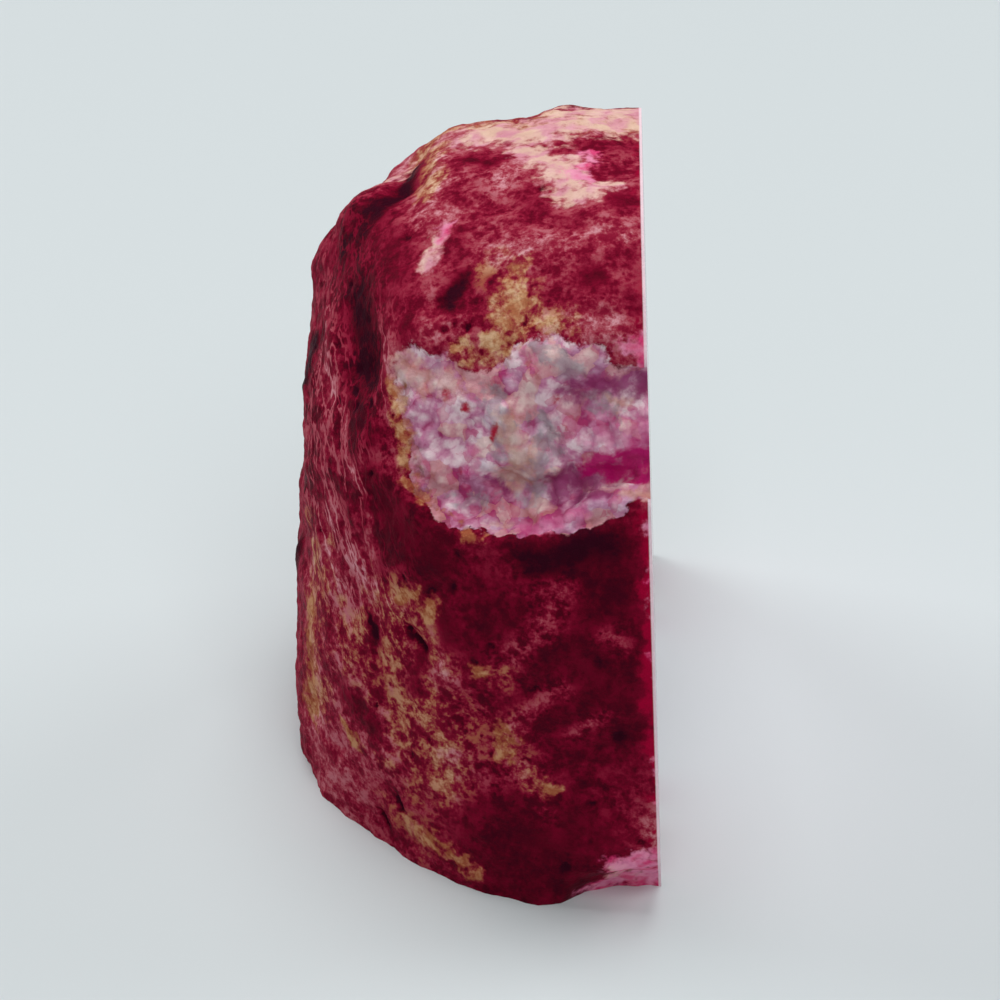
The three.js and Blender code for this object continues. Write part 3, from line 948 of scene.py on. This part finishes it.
def make_cell_group():
    """Close-packed uneven cells: the seams between them, and each cell's dome and two own numbers."""
    sockets = {"Place": "Vector", "Size": "Float", "Seam Width": "Float"}
    results = {"Seam": "Float", "Dome": "Float", "Own": "Float", "Hue": "Float"}
    board, given, put_out = new_group("cells", sockets, results)
    crooked = board.stray(given["Place"], 2.0, 0.55)
    inputs = {"Vector": crooked, "Scale": board.math("DIVIDE", 1.0, given["Size"])}
    edge = board.node("TexVoronoi", inputs, feature="DISTANCE_TO_EDGE")
    seam = board.step(board.math("MULTIPLY", edge, given["Size"]), given["Seam Width"], 0.0)
    dome = board.step(board.node("TexVoronoi", inputs), 0.75, 0.1)
    chance = board.node("TexVoronoi", inputs, output=1)
    own, hue = (board.node("SeparateColor", {"Color": chance}, output) for output in (0, 1))
    return put_out(Seam=seam, Dome=dome, Own=own, Hue=hue)


def make_dye_group():
    """The colours that the dye takes in the stone, by paleness: one set rosy, one set tan."""
    results = {"Rosy": "Color", "Tan": "Color"}
    board, given, put_out = new_group("dyed_stone", {"Paleness": "Float"}, results)
    rosy = [
        (0.0, "#36081a"), (0.15, "#5c081e"), (0.3, "#7e0a2a"), (0.45, "#98203c"),
        (0.6, "#ad4454"), (0.75, "#c26c78"), (0.9, "#dc9aa4"), (1.0, "#ecc2c2"),
    ]
    tan = [
        (0.0, "#300a10"), (0.2, "#5e161a"), (0.4, "#8e382e"), (0.6, "#ae6444"),
        (0.8, "#cc9870"), (1.0, "#eccaa6"),
    ]
    return put_out(Rosy=board.ramp(given["Paleness"], rosy), Tan=board.ramp(given["Paleness"], tan))


def make_breakup_group():
    """A painted mark with its edge broken up by the stone's own unevenness."""
    sockets = {"Mark": "Float", "Place": "Vector", "Size": "Float", "Raggedness": "Float"}
    board, given, put_out = new_group("broken_mark", sockets, {"Mask": "Float"})
    uneven = board.noise(given["Place"], given["Size"], detail=4.0, roughness=0.57)
    reach = board.math("MULTIPLY", board.step(given["Mark"], 0.02, 0.35), given["Raggedness"])
    moved = board.math("MULTIPLY_ADD", board.centre(uneven), reach, given["Mark"])
    return put_out(Mask=board.step(moved, 0.25, 0.95))


def make_grain_group():
    """The height of the stone's fine grain, in the stone's own scale."""
    board, given, put_out = new_group("grain", {"Place": "Vector", "Size": "Float"}, {"Height": "Float"})
    return put_out(Height=board.noise(given["Place"], given["Size"], detail=4.0, roughness=0.65))


def make_band_group():
    """Agate bands that follow the rind: the warped depth, and a fine light-and-dark striping."""
    sockets = {"Depth": "Float", "Place": "Vector", "Waviness": "Float"}
    results = {"Depth": "Float", "Stripes": "Float"}
    board, given, put_out = new_group("bands", sockets, results)
    slow = board.centre(board.noise(given["Place"], 14.0, detail=2.0))
    quick = board.centre(board.noise(given["Place"], 3.5, detail=3.0))
    wave = board.math("MULTIPLY_ADD", quick, 0.3, slow)
    sheltered = board.step(given["Depth"], 0.0, 5.0)
    wave = board.math("MULTIPLY", wave, board.math("MULTIPLY", sheltered, given["Waviness"]))
    depth = board.math("MAXIMUM", board.math("ADD", given["Depth"], wave), 0.0)
    spacing = board.node("CombineXYZ", {"X": depth})
    stripes = board.noise(spacing, 0.9, detail=3.0, roughness=0.7)
    return put_out(Depth=depth, Stripes=board.step(stripes, 0.35, 0.65))


cell_group, dye_group, breakup_group = make_cell_group(), make_dye_group(), make_breakup_group()
grain_group, band_group = make_grain_group(), make_band_group()


# ---------------- finishes


def new_material(name):
    material = bpy.data.materials.new(name)
    material.use_nodes = True
    return material, Board(material.node_tree), material.node_tree.nodes["Principled BSDF"]


def wire(board, shader, sockets):
    for socket, value in sockets.items():
        board.join(value, shader.inputs[socket])


FIBRE_LEAN = (0.30, -0.45, -0.84)  # the way the fibres run on the stone's side
FIBRE_STRETCH = 3.6  # how many times longer than wide they are
PORE_SPACING = 1.1
LARGE_LUMP, SMALL_LUMP = 3.6, 1.6  # how far across the lumps in the crystal's colour are
LUMP_SHIFT, AREA_SHIFT = (9.0, 0.0, 0.0), (40.0, 0.0, 0.0)  # to unused parts of a noise
ARRIS_HIGHLIGHT = (0.5, 0.3)  # how far behind the polished face the painted highlight along its edge ends and is at its full
RAGGED_MARKS = {  # for each painted mark the size of its edge's unevenness, and how ragged that is
    "cream": (1.6, 2.0),
    "pink": (1.4, 2.0),
    "ochre": (1.6, 2.6),
    "warm": (4.0, 3.2),
    "glow": (3.0, 3.2),
    "grey": (2.0, 3.2),
    "shade": (2.5, 2.0),
    "magenta": (2.0, 2.0),
    "specks": (1.0, 1.2),
}
CRYSTAL_STAINS_AND_PAINTED_LIGHT = [  # in the order that they go on: how strong, and the colour round and on the lumps; the paler colour on the lumps is a painted highlight
    ("grey", 0.75, "#94868e", "#cec4cc"),
    ("cream", 0.6, "#d69c80", "#fbe6d6"),
    ("pink", 0.65, "#cc4c86", "#f2a0c4"),
    # pink in the creases between lumps, and painted shade there
    ("creases", 0.22, "#a8406e", "#a8406e"),
    # painted shade under the overhang and over the ledge
    ("shade", 0.92, "#8e3260", "#a84a80"),
    # magenta, partly a painted glow of light through the stone by the polished face
    ("magenta", 0.95, "#b60a62", "#c41a70"),
]


def dye_pattern(board, place, fine, variation):
    """How much paler or darker the dye took from place to place, from -1.2 to 1.2."""
    along = board.vector_dot(place, FIBRE_LEAN)
    shortening = board.math("MULTIPLY", along, 1 / FIBRE_STRETCH - 1)
    drawn_out = board.vector("ADD", place, board.vector("SCALE", FIBRE_LEAN, Scale=shortening))

    broad = board.centre(board.noise(place, 5.0, detail=5.0, roughness=0.6))
    fibres = board.centre(board.noise(drawn_out, 1.1, detail=4.0, roughness=0.55))
    lace = board.cells(place, 2.2, 0.45)[0]
    from_pore = board.node("TexVoronoi", {"Vector": place, "Scale": 1 / PORE_SPACING})
    pores = board.step(from_pore, 0.36, 0.14)
    even = board.total(-0.15, (fine, 8.0), (lace, 0.45), (pores, -0.7))
    even = board.math("MULTIPLY", even, board.step(variation, 0.04, 0.2, low=0.5))

    strands = board.centre(board.noise(drawn_out, 2.4, detail=3.0, roughness=0.55))
    strands = board.step(board.math("ABSOLUTE", strands), 0.045, 0.0)
    drawn = board.total(-0.5, (fibres, 2.5), (fine, 4.5), (strands, 3.0))
    pattern = board.mix(board.math("MULTIPLY", board.map("fibre"), 0.7), even, drawn)
    pattern = board.math("MULTIPLY_ADD", broad, 5.0, pattern)
    return board.step(pattern, -1.4, 1.4, low=-1.2, high=1.2)


def crystal_lumps(board, place):
    """The colour of the pocket's close-packed crystal lumps, and how high each stands in its middle."""
    crooked = board.stray(place, 1.1, 0.5)
    big_seam, big_dome, big_own, big_hue = board.cells(crooked, LARGE_LUMP, 0.6)
    seam, dome, own, hue = board.cells(board.vector("ADD", crooked, LUMP_SHIFT), SMALL_LUMP, 0.3)
    area = board.noise(place, 6.0, detail=3.0)
    cooler = board.noise(board.vector("ADD", place, AREA_SHIFT), 5.0, detail=2.0)
    mottling = board.noise(place, 1.7, detail=2.0)
    blebs = board.map("blebs")
    tone = board.total(-0.98, (area, 1.0), (mottling, 1.0), (big_own, 0.3), (own, 0.1), (blebs, 0.4))
    # painted highlight and shade: the crystal paler in each lump's middle and darker at the seams
    # between lumps
    tone = board.total(tone, (big_dome, 0.24), (dome, 0.1), (big_seam, -0.07), (seam, -0.03))
    tint = board.tint(board.step(tone, 0.06, 0.46), "#aa3c6e", "#d48cae")
    tint = board.tint(board.step(tone, 0.40, 0.85), tint, "#fae2e8")
    tint = board.tint(board.step(cooler, 0.5, 0.64, high=0.3), tint, "#b4a4c0")
    tint = board.tint(board.step(big_hue, 0.68, 0.78, high=0.35), tint, "#e8b890")
    tint = board.tint(board.step(hue, 0.8, 0.86, high=0.4), tint, "#cc3c70")
    return tint, board.total(0.0, (dome, 0.35), (big_dome, 0.65))


def make_dyed_rind():
    """The rind: dyed agate, bare in places and under a pale skin in others, and its pocket's crystal."""
    material, board, shader = new_material("dyed_rind")
    place = board.place()
    marks = {"creases": board.map("creases")}
    for name, (size, raggedness) in RAGGED_MARKS.items():
        inputs = {"Mark": board.map(name), "Place": place, "Size": size, "Raggedness": raggedness}
        marks[name] = board.group(breakup_group, inputs)
    cream, pink, ochre = (marks[name] for name in ("cream", "pink", "ochre"))

    fine = board.centre(board.noise(place, 1.7, detail=5.0, roughness=0.72))
    variation = board.map("variation")
    pattern = dye_pattern(board, place, fine, variation)
    tone = board.math("MULTIPLY_ADD", pattern, variation, board.map("paleness"))
    pitted = board.math("MULTIPLY", board.map("pits"), 0.4)
    tone = board.math("SUBTRACT", tone, pitted, clamp=True)
    pale_tone = board.math("MULTIPLY_ADD", pattern, 0.16, 0.80, clamp=True)
    tone = board.mix(board.math("MAXIMUM", cream, pink), tone, pale_tone)
    height = board.vector_dot(place, (0.0, 0.0, 1.0))
    ochre_tone = board.step(height, 58.0, 86.0, low=0.62, high=0.77)
    tone = board.mix(ochre, tone, board.math("MULTIPLY_ADD", pattern, 0.12, ochre_tone, clamp=True))

    rosy, tan = (board.group(dye_group, {"Paleness": tone}, output) for output in (0, 1))
    warm = board.math("MULTIPLY", marks["warm"], board.step(tone, 0.35, 0.65, high=0.8))
    rind = board.tint(board.math("MAXIMUM", warm, ochre), rosy, tan)
    blush = board.step(board.noise(place, 3.0, detail=2.0), 0.42, 0.62)
    rind = board.lay(rind, cream, 0.75, board.tint(blush, "#efccb8", "#e6a4b4"))
    rind = board.lay(rind, pink, 0.75, board.tint(blush, "#f492bc", "#ea3c80"))
    rind = board.lay(rind, marks["glow"], board.step(tone, 0.7, 0.3, high=0.8), "#ae0636")
    ahead = board.vector_dot(place, FACE_NORMAL)
    behind_face = board.math("MULTIPLY_ADD", ahead, -1.0, HEART @ FACE_NORMAL)
    # a painted highlight along the edge of the polished face, as if its arris caught the light
    rind = board.tint(board.step(behind_face, *ARRIS_HIGHLIGHT, high=0.9), rind, "#fbe0ea")

    crystal, domes = crystal_lumps(board, place)
    for name, strength, round_lumps, on_lumps in CRYSTAL_STAINS_AND_PAINTED_LIGHT:
        # each stain or painted shade is paler on the lumps' middles, a painted highlight
        stain_and_painted_light = board.tint(domes, round_lumps, on_lumps)
        crystal = board.lay(crystal, marks[name], strength, stain_and_painted_light)
    crystal = board.lay(crystal, ochre, 0.8, tan)
    crystal = board.tint(marks["specks"], crystal, "#b4243c")
    in_pocket = board.step(board.math("MULTIPLY_ADD", fine, 3.0, board.map("pocket")), -0.2, 0.5)

    grain = board.group(grain_group, {"Place": place, "Size": 0.5})
    bumps = board.math("MULTIPLY_ADD", tone, 0.3, grain)
    bumps = board.math("MULTIPLY_ADD", board.math("MULTIPLY", domes, in_pocket), 1.3, bumps)
    wire(board, shader, {
        "Base Color": board.tint(in_pocket, rind, crystal),
        "Roughness": board.mix(in_pocket, board.step(tone, 0.1, 0.7, low=0.42, high=0.62), 0.38),
        "Specular IOR Level": 0.01,
        "Normal": board.node("Bump", {"Strength": 0.8, "Distance": 0.0003, "Height": bumps}),
    })
    return material


LAST_BAND_DEPTH = 40.0  # how deep under the rind the last of the bands' colours lies


def agate_colours(board, place):
    """The colours of the cut agate, from the rind in, and the bands' own striping."""
    inputs = {"Depth": board.map("depth"), "Place": place, "Waviness": 5.0}
    depth, stripes = (board.group(band_group, inputs, output) for output in (0, 1))
    cut = board.ramp(board.math("DIVIDE", depth, LAST_BAND_DEPTH), [
        (0.0, "#5a0a22"), (0.03, "#8c1434"), (0.055, "#f0d0d8"), (0.10, "#de5490"), (0.15, "#b01058"),
        (0.22, "#e87cac"), (0.28, "#a00c4c"), (0.36, "#cc3070"), (0.46, "#f6dae4"), (0.54, "#cc4484"),
        (0.66, "#eaa0c0"), (0.8, "#f2dce4"), (1.0, "#e6c8d6"),
    ])
    banded = board.math("MULTIPLY", board.step(depth, 34.0, 20.0), 0.55)
    striped = board.math("MULTIPLY", board.math("SUBTRACT", 1.0, stripes), banded)
    cut = board.tint(striped, cut, "#8c1240")
    seams, _, own, _ = board.cells(place, 4.5, 0.3)
    middle = board.step(depth, 21.0, 30.0)
    quartz = board.tint(own, "#dcaac4", "#f0dae4")
    dyed = board.step(board.noise(place, 9.0, detail=3.0), 0.45, 0.7, high=0.5)
    quartz = board.lay(quartz, seams, dyed, "#b83c78")
    return board.lay(cut, middle, 0.4, quartz), stripes


def make_polished_face():
    """The polished cut: concentric bands with a gloss."""
    material, board, shader = new_material("polished_face")
    place = board.place()
    cut, stripes = agate_colours(board, place)
    cloudy = board.step(board.noise(place, 9.0, detail=5.0, roughness=0.62), 0.4673, 0.7073)
    cut = board.lay(cut, cloudy, 0.3, "#f4e4e6")
    wire(board, shader, {
        "Base Color": cut,
        "Roughness": board.step(stripes, 0.0, 1.0, low=0.07, high=0.14),
        "Specular IOR Level": 0.35,
        "Coat Weight": 0.15,
        "Coat Roughness": 0.04,
    })
    return material


def make_sawn_base():
    """The sawn cut that the stone stands on: the same bands, dull, with the saw's marks."""
    material, board, shader = new_material("sawn_base")
    place = board.place()
    cut, _ = agate_colours(board, place)
    dusty = board.noise(place, 6.0, detail=4.0)
    cut = board.tint(board.step(dusty, 0.3, 0.8, high=0.5), cut, "#b08a90")
    grain = board.group(grain_group, {"Place": place, "Size": 0.6})
    across = board.vector_dot(place, (0.94, 0.34, 0.0))
    saw_marks = board.noise(board.node("CombineXYZ", {"X": across}), 0.35, detail=2.0)
    height = board.math("ADD", grain, saw_marks)
    wire(board, shader, {
        "Base Color": cut,
        "Roughness": board.step(dusty, 0.3, 0.7, low=0.5, high=0.68),
        "Normal": board.node("Bump", {"Strength": 0.5, "Distance": 0.0001, "Height": height}),
    })
    return material


# ---------------- put together

make_camera()
make_studio()
make_table()
stone = build_stone()
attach(stone, "root")
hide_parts("agate")

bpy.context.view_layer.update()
